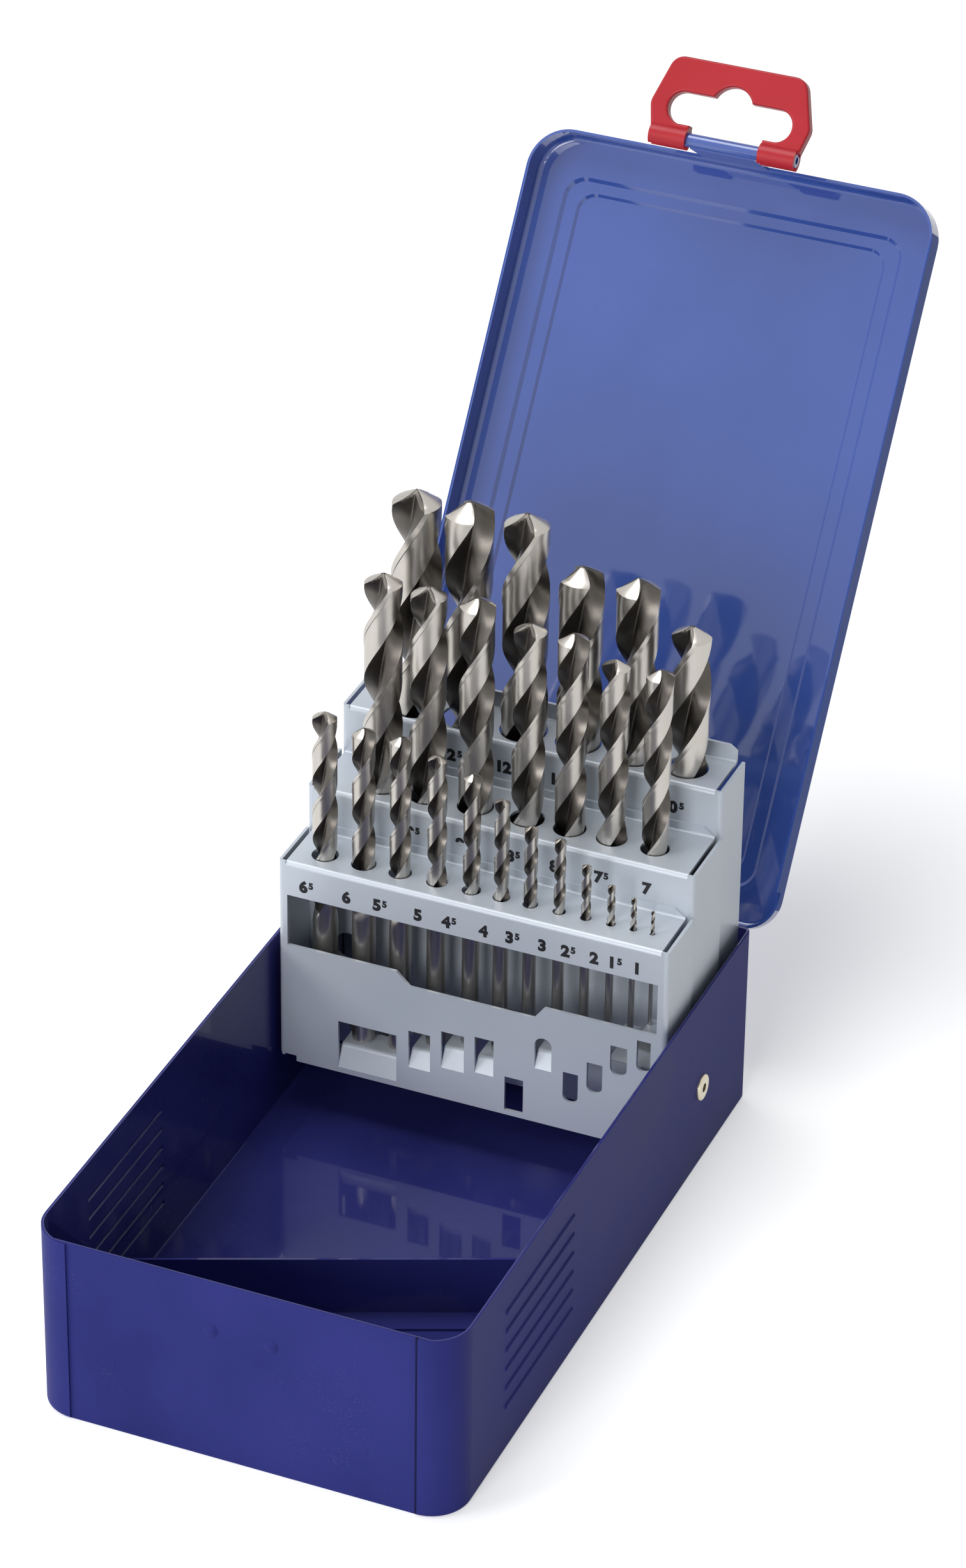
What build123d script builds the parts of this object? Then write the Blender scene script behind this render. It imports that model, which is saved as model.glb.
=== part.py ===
from build123d import *
import math
import os

# Sheet and clearances, all in millimetres
SHEET = 0.7
RACK_SHEET = 0.8
RUNNING_FIT = 0.06
END_PLAY = 0.05
STOP_GAP = 0.1
OVER = 1.0
HAIR = 0.01

# Tray: origin at the middle of its underside, +Y towards the hinge
TRAY_W = 110.0
TRAY_L = 191.0
TRAY_H = 52.0
FRONT_CORNER_R = 10.0
REAR_CORNER_R = 1.8
FOLD_R = 1.2
INNER_FOLD_R = 0.5
SEAM_INSET = 10.0
DIMPLE_X = 7.8
DIMPLE_DROP = 14.2
DIMPLE_R = 2.9
DIMPLE_RISE = 0.8
RIB_COUNT = 6
RIB_FOOT = 13.5
RIB_DROP = 10.5
RIB_INSET = 31.0
RIB_LENGTH = 41.0
RIB_R = 1.05
RIB_DEPTH = 0.45
PANEL_SIDE_INSET = 11.0
PANEL_REAR_INSET = 13.5
PANEL_RISE = 0.5
STOP_BEFORE_PIVOT = (117.9, 69.9)
STOP_TOP_Z = 17.5
STOP_FOOT = 7.0
STOP_TO_PANEL = 4.4

# Hinge between tray and lid
HINGE_DY = 4.0
HINGE_DROP = 7.0
PIN_R = 1.0
PIN_OVERHANG = 0.8
KNUCKLE_R = 2.2
KNUCKLE_L = 14.0
KNUCKLE_INSET = 10.0
KNUCKLE_GAP = 0.5
LEAF_BELOW_PIN = (13.0, 4.0)
LEAF_INSET = 5.0
LUG_DEPTH = 2.0
LUG_RISE = 0.4
LID_OPEN = 124.65

# Lid, drawn closed
LID_GAP = 0.5
LID_OVERLAP = 3.2
LID_HEADROOM = 5.0
LID_REAR_R = 9.0
LID_EDGE_R = 2.0
RELIEF_INSET = 10.0
RELIEF_OVER_TRAY = 0.3
# Pressed steps: margins at the sides, front and rear, corner radius, height
EMBOSS_1 = (8.7, 10.4, 9.5, 6.0, 0.9)
EMBOSS_2 = (12.9, 14.1, 13.0, 5.0, 0.7)
EMBOSS_TAPER = 45.0
TONGUE_HALF_W = 9.0
BAR_HALF_L = 20.0
BAR_R = 1.8
BAR_BORE_R = 1.0
BAR_BELOW_RIM = 12.8
BAR_DROP = 1.4

# Hanger, measured from the bar's middle
HANGER_T = 3.0
HANGER_EDGE_R = 0.6
CLIP_R = 3.0
CLIP_X = (10.0, 20.0)
CLIP_MOUTH = 2.8
HANGER_TOP = 21.0
HANGER_TOP_HALF_W = 18.0
HANGER_MID = 8.0
HANGER_MID_HALF_W = 22.0
HANGER_FOOT_HALF_W = 20.0
HANGER_CORNER_R = 4.0
SLOT_HALF_W = 17.0
SLOT_LOW = 3.5
SLOT_HIGH = 12.0
SLOT_END_FLAT = 0.1
SLOT_BUMP_R = 5.6
SLOT_BUMP_TOP = 15.5

# Rack, drawn upright: its own origin is the foot of the front plate, and the
# three tiers are given from the lowest, at the front, to the highest
RACK_Z = 15.8
PIVOT_BEHIND_PLATE = 3.6
PIVOT_W = 8.1
BEND_R = 0.9
PLATE_FOOT = 0.3
TIER_W = (60.5, 72.7, 85.8)
TIER_SIDE_GAP = (1.55, 1.8, 2.55)
GAP_BEFORE_DRILLS = (3.75, 3.4, 1.2)
GAP_BEHIND_DRILLS = (7.05, 6.3, 1.7)
FLANGE_RISE = (2.3, 2.3, 4.5)
FLANGE_CHAMFER = (3.0, 3.0, 2.0)
FLANGE_CHAMFER_SLOPE = 0.7
STEP_END_GAP = 1.2
CHEEK_GAP = 0.1
CHEEK_FOOT = -3.0
CHEEK_TAPER_W = (28.0, -3.2)
CHEEK_TAPER_DEPTH = 5.9
EAR_REACH = 5.7
EAR_TOP = 13.0
HOLE_PLAY = 0.4
CUT_IN = 1.5
FOOT_NOTCH = (4.75, 2.0)
LONG_WINDOW_INSET = (2.45, 2.55)
LONG_WINDOW_TOP = 50.7
LONG_WINDOW_LIP = ((-20.3, 35.6), (-16.5, 31.9), (17.4, 31.9), (20.1, 35.6))
ROUND_HOLE = (-41.0, 27.0, 4.0)
SEAT_SLOPE = 2.9
SEAT_REACH = (9.8, 12.0)
SHELF_REACH = 11.4

# Pivot rivets
RIVET_R = 2.0
RIVET_BORE_R = 1.2
RIVET_HEAD_R = 3.5
RIVET_HEAD_T = 0.8
RIVET_EDGE_R = 0.5
WASHER_R = 3.6

# Front pockets: low and high across, window's foot and top, its rounded end,
# where the tab leaves the plate, and the seat's height
FRONT_POCKETS = (
    (-47.5, -38.5, (), "", 1.4, 1.8),
    (-36.3, -20.1, (1.9, 16.0), "", 1.6, 7.7),
    (-16.8, -10.8, (7.3, 18.5), "", 7.0, 11.7),
    (-7.8, -1.5, (9.7, 20.8), "", 9.4, 14.8),
    (1.4, 6.6, (10.8, 21.7), "", 10.5, 14.5),
    (9.7, 14.8, (1.7, 11.9), "", 12.2, 13.6),
    (17.7, 22.3, (16.7, 26.3), "top", 16.4, 21.0),
    (25.5, 29.6, (8.9, 17.8), "bottom", 18.1, 19.3),
    (31.9, 36.1, (13.6, 22.5), "bottom", 22.8, 23.1),
    (38.1, 42.6, (20.7, 29.5), "bottom", 29.8, 29.9),
    (45.1, 48.8, (23.7, 32.9), "bottom", 33.2, 33.4),
)
# Middle pockets: low and high across, tab root, window top, seat height
MIDDLE_POCKETS = (
    (-41.0, -29.5, 1.0, 12.0, 1.4),
    (-27.5, -5.5, 4.6, 16.0, 8.5),
    (-0.5, 20.5, 8.6, 20.0, 12.5),
    (22.5, 43.5, 11.8, 22.5, 15.7),
)
# Rear shelf: low and high across, height
REAR_SHELVES = (
    (-42.0, 2.0, -2.4),
    (3.5, 31.5, -4.9),
    (33.0, 46.0, -6.0),
)

# Drills of each tier: diameter, overall length, place across
FRONT_DRILLS = (
    (6.5, 101.0, -42.9),
    (6.0, 93.0, -32.3),
    (5.5, 93.0, -22.3),
    (5.0, 86.0, -12.3),
    (4.5, 80.0, -2.9),
    (4.0, 75.0, 5.2),
    (3.5, 70.0, 13.0),
    (3.0, 61.0, 20.8),
    (2.5, 57.0, 27.9),
    (2.0, 49.0, 34.6),
    (1.5, 40.0, 40.6),
    (1.0, 34.0, 45.7),
)
MIDDLE_DRILLS = (
    (10.0, 133.0, -35.3),
    (9.5, 125.0, -23.0),
    (9.0, 125.0, -9.9),
    (8.5, 117.0, 4.2),
    (8.0, 117.0, 15.7),
    (7.5, 109.0, 27.0),
    (7.0, 109.0, 38.6),
)
REAR_DRILLS = (
    (13.0, 151.0, -34.6),
    (12.5, 151.0, -20.3),
    (12.0, 151.0, -4.9),
    (11.5, 142.0, 10.0),
    (11.0, 142.0, 25.0),
    (10.5, 133.0, 39.4),
)
POINT_ANGLE = 118.0
# Shank end's chamfer in each tier, over the drill's diameter
CHAMFER_RATIO = (0.08, 0.1, 0.115)

# Derived: tray and hinge
HALF_W = TRAY_W / 2
HALF_L = TRAY_L / 2
SEAM_X = HALF_W - SEAM_INSET
DIMPLE_Z = TRAY_H - DIMPLE_DROP
RIB_PITCH = (TRAY_H - RIB_DROP - RIB_FOOT) / (RIB_COUNT - 1)
RIB_Y = (-HALF_L + RIB_INSET, -HALF_L + RIB_INSET + RIB_LENGTH)
HINGE_Y = HALF_L + HINGE_DY
HINGE_Z = TRAY_H - HINGE_DROP
KNUCKLE_END = HALF_W - KNUCKLE_INSET
TRAY_KNUCKLES = (
    (-KNUCKLE_END, -KNUCKLE_END + KNUCKLE_L),
    (-KNUCKLE_L / 2, KNUCKLE_L / 2),
    (KNUCKLE_END - KNUCKLE_L, KNUCKLE_END),
)

# Derived: lid
LID_HALF_W = HALF_W + LID_GAP + SHEET
LID_HALF_L = HALF_L + LID_GAP + SHEET
LID_RIM_Z = TRAY_H - LID_OVERLAP
LID_INNER_Z = TRAY_H + LID_HEADROOM
LID_TOP_Z = LID_INNER_Z + SHEET
BAR_Y = -LID_HALF_L - BAR_DROP
BAR_Z = LID_RIM_Z - BAR_BELOW_RIM

# Derived: each tier is as deep as its largest drill and the gaps on both sides
POCKETS = (FRONT_POCKETS, MIDDLE_POCKETS, REAR_SHELVES)
DRILL_ROWS = (FRONT_DRILLS, MIDDLE_DRILLS, REAR_DRILLS)
LARGEST = tuple(max(diameter for diameter, _, _ in row) for row in DRILL_ROWS)
TIER_DEPTH = tuple(
    before + size + behind
    for before, size, behind in zip(GAP_BEFORE_DRILLS, LARGEST, GAP_BEHIND_DRILLS)
)
RACK_DEPTH = sum(TIER_DEPTH)
TIER_V = (0.0, TIER_DEPTH[0], TIER_DEPTH[0] + TIER_DEPTH[1])
TIER_BACK = TIER_V[1:] + (RACK_DEPTH,)
TIER_HALF_W = tuple(HALF_W - SHEET - gap for gap in TIER_SIDE_GAP)
ROW_V = tuple(
    front + before + size / 2
    for front, before, size in zip(TIER_V, GAP_BEFORE_DRILLS, LARGEST)
)

# Derived: rack's place and pivots
RACK_Y = HALF_L - SHEET - STOP_GAP - RACK_DEPTH
PIVOT_V = TIER_V[1] + PIVOT_BEHIND_PLATE
PIVOT_Y = RACK_Y + PIVOT_V
PIVOT_Z = RACK_Z + PIVOT_W

# Derived: slanted bit stop, from wall to wall
STOP_HALF_W = HALF_W - SHEET - END_PLAY
STOP_FRONT = (-STOP_HALF_W, PIVOT_Y - STOP_BEFORE_PIVOT[0])
STOP_REAR = (STOP_HALF_W, PIVOT_Y - STOP_BEFORE_PIVOT[1])


def block(x0, x1, y0, y1, z0, z1):
    """Square block between two corners."""
    middle = Pos((x0 + x1) / 2, (y0 + y1) / 2, (z0 + z1) / 2)
    return middle * Box(x1 - x0, y1 - y0, z1 - z0)


def rod_x(x0, x1, y, z, radius):
    """Round rod along X."""
    return Pos((x0 + x1) / 2, y, z) * Rot(0, 90, 0) * Cylinder(radius, x1 - x0)


def rod_y(y0, y1, x, z, radius):
    """Round rod along Y."""
    return Pos(x, (y0 + y1) / 2, z) * Rot(90, 0, 0) * Cylinder(radius, y1 - y0)


def prism_x(points, x0, x1):
    """Prism along X of a polygon given in Y and Z."""
    return extrude(Plane.YZ.offset(x0) * Polygon(*points, align=None), x1 - x0)


def prism_y(points, y0, y1):
    """Prism along Y of a polygon given in X and Z."""
    return extrude(Plane.XZ.offset(-y1) * Polygon(*points, align=None), y1 - y0)


def prism_z(points, z0, z1):
    """Prism along Z of a polygon given in X and Y."""
    return extrude(Plane.XY.offset(z0) * Polygon(*points, align=None), z1 - z0)


def bent_x(points, x0, x1):
    """Bent rack sheet, swept along X, from its middle line in Y and Z."""
    strip = trace(FilletPolyline(*points, radius=BEND_R), RACK_SHEET)
    return extrude(Plane.YZ.offset(x0) * strip, x1 - x0)


def both_sides(shape):
    """A right-hand shape and its left-hand twin."""
    return [shape, mirror(shape, Plane.YZ)]


def pan_outline(half_w, half_l, front_r, rear_r):
    """Rectangle with one radius at the front corners and another at the rear."""
    outline = Rectangle(2 * half_w, 2 * half_l)
    outline = fillet(outline.vertices().group_by(Axis.Y)[0], front_r)
    return fillet(outline.vertices().group_by(Axis.Y)[-1], rear_r)


def tray_shell():
    """Folded tray with a front wall set behind the wrap-round corners."""
    outer = extrude(pan_outline(HALF_W, HALF_L, FRONT_CORNER_R, REAR_CORNER_R), TRAY_H)
    outer = fillet(outer.edges().group_by(Axis.Z)[0], FOLD_R)
    inner_w = HALF_W - SHEET
    inner_l = HALF_L - SHEET
    front_r = FRONT_CORNER_R - SHEET
    rear_r = REAR_CORNER_R - SHEET
    inner = Pos(0, 0, SHEET) * extrude(pan_outline(inner_w, inner_l, front_r, rear_r), TRAY_H)
    front_face = -HALF_L + SHEET
    inner -= block(-HALF_W, HALF_W, -HALF_L, front_face + SHEET, 0, 2 * TRAY_H)
    inner = fillet(inner.edges().group_by(Axis.Z)[0], INNER_FOLD_R)
    shell = outer - inner
    shell -= block(-SEAM_X, SEAM_X, -HALF_L - OVER, front_face, -OVER, TRAY_H + OVER)

    adds = []
    cuts = []
    dimple_y = front_face - DIMPLE_RISE + DIMPLE_R
    half = block(-HALF_W, HALF_W, front_face - DIMPLE_R, front_face + SHEET, 0, TRAY_H)
    for x in (-DIMPLE_X, DIMPLE_X):
        adds.append((Pos(x, dimple_y, DIMPLE_Z) * Sphere(DIMPLE_R)) & half)
        cuts.append(Pos(x, dimple_y, DIMPLE_Z) * Sphere(DIMPLE_R - SHEET))
    low, high = RIB_Y
    for i in range(RIB_COUNT):
        z = RIB_FOOT + i * RIB_PITCH
        ridge_x = HALF_W + RIB_DEPTH - RIB_R
        groove_r = RIB_R - SHEET / 2
        groove_x = HALF_W - SHEET + RIB_DEPTH - groove_r
        for sign in (-1, 1):
            ridge = rod_y(low, high, sign * ridge_x, z, RIB_R)
            ridge += Pos(sign * ridge_x, low, z) * Sphere(RIB_R)
            ridge += Pos(sign * ridge_x, high, z) * Sphere(RIB_R)
            adds.append(ridge)
            cuts.append(rod_y(low, high, sign * groove_x, z, groove_r))
    shell += adds
    rest = inner_w - HAIR
    foot = RIB_FOOT - 2 * RIB_R
    shell -= block(-rest, rest, low - 2 * RIB_R, high + 2 * RIB_R, foot, TRAY_H - OVER)
    shell -= cuts

    panel = panel_points()
    shell += prism_z(panel, SHEET, SHEET + PANEL_RISE)
    shell -= prism_z(panel, 0, PANEL_RISE)
    shell -= rod_x(-TRAY_W, TRAY_W, PIVOT_Y, PIVOT_Z, RIVET_R)
    return shell


def panel_points():
    """Corners of the raised floor panel, its front edge parallel to the bit stop."""
    half = HALF_W - PANEL_SIDE_INSET
    rear = HALF_L - PANEL_REAR_INSET
    slope = (STOP_REAR[1] - STOP_FRONT[1]) / (STOP_REAR[0] - STOP_FRONT[0])
    left, right = (
        STOP_FRONT[1] + slope * (x - STOP_FRONT[0]) + STOP_TO_PANEL for x in (-half, half)
    )
    return ((-half, left), (half, right), (half, rear), (-half, rear))


def bit_stop():
    """Upright strip across the floor that the front row's points run up against."""
    dx = STOP_REAR[0] - STOP_FRONT[0]
    dy = STOP_REAR[1] - STOP_FRONT[1]
    length = math.hypot(dx, dy)
    turn = math.degrees(math.atan2(dy, dx))
    upright = block(-length, length, -SHEET / 2, SHEET / 2, SHEET, STOP_TOP_Z)
    foot = block(-length, length, -STOP_FOOT, SHEET / 2, SHEET, 2 * SHEET)
    middle = Pos((STOP_FRONT[0] + STOP_REAR[0]) / 2, (STOP_FRONT[1] + STOP_REAR[1]) / 2, 0)
    strip = middle * Rot(0, 0, turn) * (upright + foot)
    side = STOP_REAR[0] - INNER_FOLD_R
    return strip & block(-side, side, -HALF_L, HALF_L, 0, TRAY_H)


def hinge_leaf():
    """Leaf on the rear wall with three rolled knuckles."""
    low, high = (HINGE_Z - drop for drop in LEAF_BELOW_PIN)
    half = HALF_W - LEAF_INSET
    leaf = block(-half, half, HALF_L, HALF_L + SHEET, low, high)
    strap = HINGE_Z - KNUCKLE_R
    for x0, x1 in TRAY_KNUCKLES:
        leaf += block(x0, x1, HALF_L, HALF_L + SHEET, low, strap + SHEET)
        leaf += block(x0, x1, HALF_L, HINGE_Y, strap, strap + SHEET)
        leaf += rod_x(x0, x1, HINGE_Y, HINGE_Z, KNUCKLE_R)
    return leaf - rod_x(-HALF_W, HALF_W, HINGE_Y, HINGE_Z, PIN_R)


def hinge_pin():
    """Plain pin through all five knuckles."""
    half = KNUCKLE_END + PIN_OVERHANG
    return rod_x(-half, half, HINGE_Y, HINGE_Z, PIN_R)


def emboss(size, base_z, inset):
    """Tapered panel pressed outwards, drawn smaller by inset."""
    side, front, rear, radius, height = size
    y0 = -LID_HALF_L + front + inset
    y1 = LID_HALF_L - rear - inset
    outline = Rectangle(2 * (LID_HALF_W - side - inset), y1 - y0)
    outline = fillet(outline.vertices(), radius)
    plane = Plane.XY.offset(base_z) * Pos(0, (y0 + y1) / 2)
    return extrude(plane * outline, height, taper=EMBOSS_TAPER)


def lid_closed():
    """Lid drawn closed: pan, stepped panel, two knuckles, latch tongue and bar."""
    corner = FRONT_CORNER_R + LID_GAP + SHEET
    rim = Pos(0, 0, LID_RIM_Z)
    outline = pan_outline(LID_HALF_W, LID_HALF_L, corner, LID_REAR_R)
    outer = rim * extrude(outline, LID_TOP_Z - LID_RIM_Z)
    outer = fillet(outer.edges().group_by(Axis.Z)[-1], LID_EDGE_R)
    outline = pan_outline(LID_HALF_W - SHEET, LID_HALF_L - SHEET, corner - SHEET,
                          LID_REAR_R - SHEET)
    inner = rim * extrude(outline, LID_INNER_Z - LID_RIM_Z)
    inner = fillet(inner.edges().group_by(Axis.Z)[-1], LID_EDGE_R - SHEET)
    inset = SHEET * math.tan(math.radians(EMBOSS_TAPER / 2))
    rise = EMBOSS_1[-1]
    lid = outer + emboss(EMBOSS_1, LID_TOP_Z, 0) + emboss(EMBOSS_2, LID_TOP_Z + rise, 0)
    lid -= inner
    lid -= emboss(EMBOSS_1, LID_INNER_Z, inset)
    lid -= emboss(EMBOSS_2, LID_INNER_Z + rise, inset)
    relief_top = TRAY_H + RELIEF_OVER_TRAY
    relief_x = HALF_W - RELIEF_INSET
    relief_y = HALF_L - RELIEF_INSET
    lid -= both_sides(block(relief_x, TRAY_W, relief_y, TRAY_L, 0, relief_top))

    strap = HINGE_Z + KNUCKLE_R
    for x0, x1 in lid_knuckles():
        lid += block(x0, x1, LID_HALF_L - SHEET, LID_HALF_L, strap - SHEET, LID_RIM_Z)
        lid += block(x0, x1, LID_HALF_L - SHEET, HINGE_Y, strap - SHEET, strap)
        lid += rod_x(x0, x1, HINGE_Y, HINGE_Z, KNUCKLE_R)
        lid += opened_back(stop_lug(x0, x1))
    lid -= rod_x(-HALF_W, HALF_W, HINGE_Y, HINGE_Z, PIN_R + RUNNING_FIT)

    front = -LID_HALF_L
    lid += block(-TONGUE_HALF_W, TONGUE_HALF_W, front, front + SHEET, BAR_Z, LID_RIM_Z)
    lid += rod_x(-BAR_HALF_L, BAR_HALF_L, BAR_Y, BAR_Z, BAR_R)
    lid -= rod_x(-TRAY_W, TRAY_W, BAR_Y, BAR_Z, BAR_BORE_R)
    return lid


def lid_knuckles():
    """Lid knuckles fill the spaces between the tray's, less a gap each side."""
    spans = []
    for left, right in zip(TRAY_KNUCKLES, TRAY_KNUCKLES[1:]):
        spans.append((left[1] + KNUCKLE_GAP, right[0] - KNUCKLE_GAP))
    return spans


def stop_lug(x0, x1):
    """Flat-faced lug that meets the rear wall when the lid is fully open."""
    face = HALF_L + END_PLAY
    points = (
        (face, HINGE_Z),
        (face, HINGE_Z - LUG_DEPTH),
        (HINGE_Y - PIN_R, HINGE_Z - KNUCKLE_R + LUG_RISE),
        (HINGE_Y - PIN_R, HINGE_Z),
    )
    return prism_x(points, x0, x1)


def opened_back(shape):
    """Turns an open-lid shape to the closed drawing."""
    return shape.rotate(Axis((0, HINGE_Y, HINGE_Z), (1, 0, 0)), LID_OPEN)


def opened(shape):
    """Turns a closed-lid shape to the open pose."""
    return shape.rotate(Axis((0, HINGE_Y, HINGE_Z), (1, 0, 0)), -LID_OPEN)


def hanger_face():
    """Outline of the hanger with its slot, across and away from the bar."""
    points = (
        (-HANGER_FOOT_HALF_W, 0.0),
        (-HANGER_MID_HALF_W, HANGER_MID),
        (-HANGER_TOP_HALF_W, HANGER_TOP),
        (HANGER_TOP_HALF_W, HANGER_TOP),
        (HANGER_MID_HALF_W, HANGER_MID),
        (HANGER_FOOT_HALF_W, 0.0),
    )
    face = Polygon(*points, align=None)
    face = fillet(face.vertices().group_by(Axis.Y)[-1], HANGER_CORNER_R)
    face = fillet(face.vertices().group_by(Axis.X)[0], HANGER_CORNER_R)
    face = fillet(face.vertices().group_by(Axis.X)[-1], HANGER_CORNER_R)
    height = SLOT_HIGH - SLOT_LOW
    middle = (SLOT_HIGH + SLOT_LOW) / 2
    end_r = (height - SLOT_END_FLAT) / 2
    slot = Pos(0, middle) * RectangleRounded(2 * SLOT_HALF_W, height, end_r)
    slot += Pos(0, SLOT_BUMP_TOP - SLOT_BUMP_R) * Circle(SLOT_BUMP_R)
    slot += Pos(0, SLOT_LOW / 2) * Rectangle(2 * CLIP_X[0], SLOT_LOW + 2 * OVER)
    return face - slot


def hanger_closed():
    """Hanger in line with the closed lid, its clips on the bar."""
    plate = extrude(hanger_face(), HANGER_T / 2, both=True)
    plate = fillet(plate.edges().group_by(Axis.Z)[-1], HANGER_EDGE_R)
    for side in both_sides(rod_x(CLIP_X[0], CLIP_X[1], 0, 0, CLIP_R)):
        plate += side
    plate -= rod_x(-TRAY_W, TRAY_W, 0, 0, BAR_R + RUNNING_FIT)
    half = CLIP_MOUTH / 2
    plate -= block(-TRAY_W, TRAY_W, -2 * CLIP_R, 0, -half, half)
    return Pos(0, BAR_Y, BAR_Z) * Rot(180, 0, 0) * plate


def step_holes(tier):
    """Cutters for one tier's drill holes."""
    cuts = []
    for diameter, _, across in DRILL_ROWS[tier]:
        hole = Cylinder((diameter + HOLE_PLAY) / 2, 4 * RACK_SHEET)
        cuts.append(Pos(across, ROW_V[tier], TIER_W[tier]) * hole)
    return cuts


def tier_sheet(tier, foot):
    """Front plate, cheeks, step and rear flange of one tier, not yet cut."""
    half = TIER_HALF_W[tier]
    front = TIER_V[tier]
    back = TIER_BACK[tier]
    top = TIER_W[tier]
    mid = RACK_SHEET / 2
    cheek_back = back if back == RACK_DEPTH else back - CHEEK_GAP
    path = (
        (-half + mid, cheek_back),
        (-half + mid, front + mid),
        (half - mid, front + mid),
        (half - mid, cheek_back),
    )
    strip = trace(FilletPolyline(*path, radius=BEND_R), RACK_SHEET)
    shell = extrude(Plane.XY.offset(foot) * strip, top - foot)
    step_half = half - RACK_SHEET - STEP_END_GAP
    bend_low = top - mid - BEND_R
    bend_zone = RACK_SHEET + 2 * BEND_R
    shell -= block(-step_half, step_half, front - OVER, front + bend_zone, bend_low, top + OVER)
    shell -= block(-half + RACK_SHEET, half - RACK_SHEET, front + RACK_SHEET,
                   front + bend_zone, bend_low, top + OVER)
    rise = top + FLANGE_RISE[tier]
    step = bent_x(
        (
            (front + mid, bend_low - OVER),
            (front + mid, top - mid),
            (back - mid, top - mid),
            (back - mid, rise),
        ),
        -step_half,
        step_half,
    )
    size = FLANGE_CHAMFER[tier]
    drop = size * FLANGE_CHAMFER_SLOPE
    corner = ((step_half, rise), (step_half - size, rise), (step_half, rise - drop))
    step -= both_sides(prism_y(corner, back - bend_zone, back + OVER))
    return shell + step


def window_cut(x0, x1, z0, z1, rounded, y):
    """Cutter for one window in a plate whose face is at y."""
    radius = (x1 - x0) / 2
    middle = (x0 + x1) / 2
    low = z0 + radius if rounded == "bottom" else z0
    high = z1 - radius if rounded == "top" else z1
    cutter = block(x0, x1, y - OVER, y + CUT_IN, low, high)
    if rounded == "bottom":
        cutter += rod_y(y - OVER, y + CUT_IN, middle, low, radius)
    if rounded == "top":
        cutter += rod_y(y - OVER, y + CUT_IN, middle, high, radius)
    return cutter


def seat(x0, x1, root, height, front, reach):
    """Tab bent in from a window's lip to a flat seat."""
    mid = RACK_SHEET / 2
    flat = height - mid
    if abs(root - flat) < mid:
        return block(x0, x1, front + mid, front + reach, height - RACK_SHEET, height)
    return bent_x(
        ((front + mid, root), (front + SEAT_SLOPE, flat), (front + reach, flat)), x0, x1
    )


def long_window():
    """Corners of the long window, whose lower edge dips in the middle."""
    left = -TIER_HALF_W[0] + LONG_WINDOW_INSET[0]
    right = TIER_HALF_W[0] - LONG_WINDOW_INSET[1]
    low = LONG_WINDOW_LIP[0][1]
    lip = ((left, low),) + LONG_WINDOW_LIP + ((right, low),)
    return ((left, LONG_WINDOW_TOP),) + lip + ((right, LONG_WINDOW_TOP),)


def front_bracket():
    """Lowest tier, with the long window, ten small windows and their seats."""
    tier = tier_sheet(0, PLATE_FOOT)
    cuts = step_holes(0)
    cuts.append(prism_y(long_window(), -OVER, CUT_IN))
    width, height = FOOT_NOTCH
    cuts.append(block(-HALF_W, -TIER_HALF_W[0] + width, -OVER, CUT_IN, -OVER, height))
    tabs = []
    for x0, x1, window, rounded, root, top in FRONT_POCKETS:
        if window:
            cuts.append(window_cut(x0, x1, *window, rounded, 0))
        tabs.append(seat(x0, x1, root, top, 0, SEAT_REACH[0]))
    tier -= cuts
    tier += tabs
    return tier


def middle_bracket():
    """Second tier, whose cheeks carry the pivots."""
    front = TIER_V[1]
    tier = tier_sheet(1, CHEEK_FOOT)
    cuts = step_holes(1)
    x, z, radius = ROUND_HOLE
    cuts.append(rod_y(front - OVER, front + CUT_IN, x, z, radius))
    cuts.append(rod_x(-HALF_W, HALF_W, PIVOT_V, PIVOT_W, RIVET_R + RUNNING_FIT))
    inside = TIER_HALF_W[1] - RACK_SHEET
    ear = block(inside - EAR_REACH, inside, front - OVER, PIVOT_V, CHEEK_FOOT - OVER, EAR_TOP)
    cuts += both_sides(ear)
    tabs = []
    for x0, x1, root, window_top, top in MIDDLE_POCKETS:
        cuts.append(window_cut(x0, x1, root + RACK_SHEET / 2, window_top, "", front))
        tabs.append(seat(x0, x1, root, top, front, SEAT_REACH[1]))
    tier -= cuts
    tier += tabs
    return tier


def rear_bracket():
    """Highest tier, with the stepped bottom shelf under its drills."""
    front = TIER_V[2]
    low = min(top for _, _, top in REAR_SHELVES) - RACK_SHEET
    tier = tier_sheet(2, low)
    taper_top, taper_foot = CHEEK_TAPER_W
    taper = (
        (RACK_DEPTH + OVER, taper_top),
        (RACK_DEPTH, taper_top),
        (RACK_DEPTH - CHEEK_TAPER_DEPTH, taper_foot),
        (front + RACK_SHEET, taper_foot),
        (front + RACK_SHEET, low - OVER),
        (RACK_DEPTH + OVER, low - OVER),
    )
    cuts = step_holes(2)
    cuts.append(prism_x(taper, -HALF_W, HALF_W))
    face = front - OVER
    back = front + RACK_SHEET + 2 * BEND_R
    edge = -HALF_W
    for x0, x1, top in REAR_SHELVES:
        cuts.append(block(edge, x0, face, back, low - OVER, taper_foot))
        if top - RACK_SHEET > low:
            cuts.append(block(x0, x1, face, back, low - OVER, top - RACK_SHEET))
        edge = x1
    cuts.append(block(edge, HALF_W, face, back, low - OVER, taper_foot))
    tier -= cuts
    mid = RACK_SHEET / 2
    for x0, x1, top in REAR_SHELVES:
        tier += block(x0, x1, front + mid, front + SHELF_REACH, top - RACK_SHEET, top)
    return tier


def in_tray(shape):
    """Moves a rack shape to its upright place in the tray."""
    return Pos(0, RACK_Y, RACK_Z) * shape


def drill_name(diameter):
    """File name of a drill, such as drill_06_5."""
    return f"drill_{diameter:04.1f}".replace(".", "_")


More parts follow.
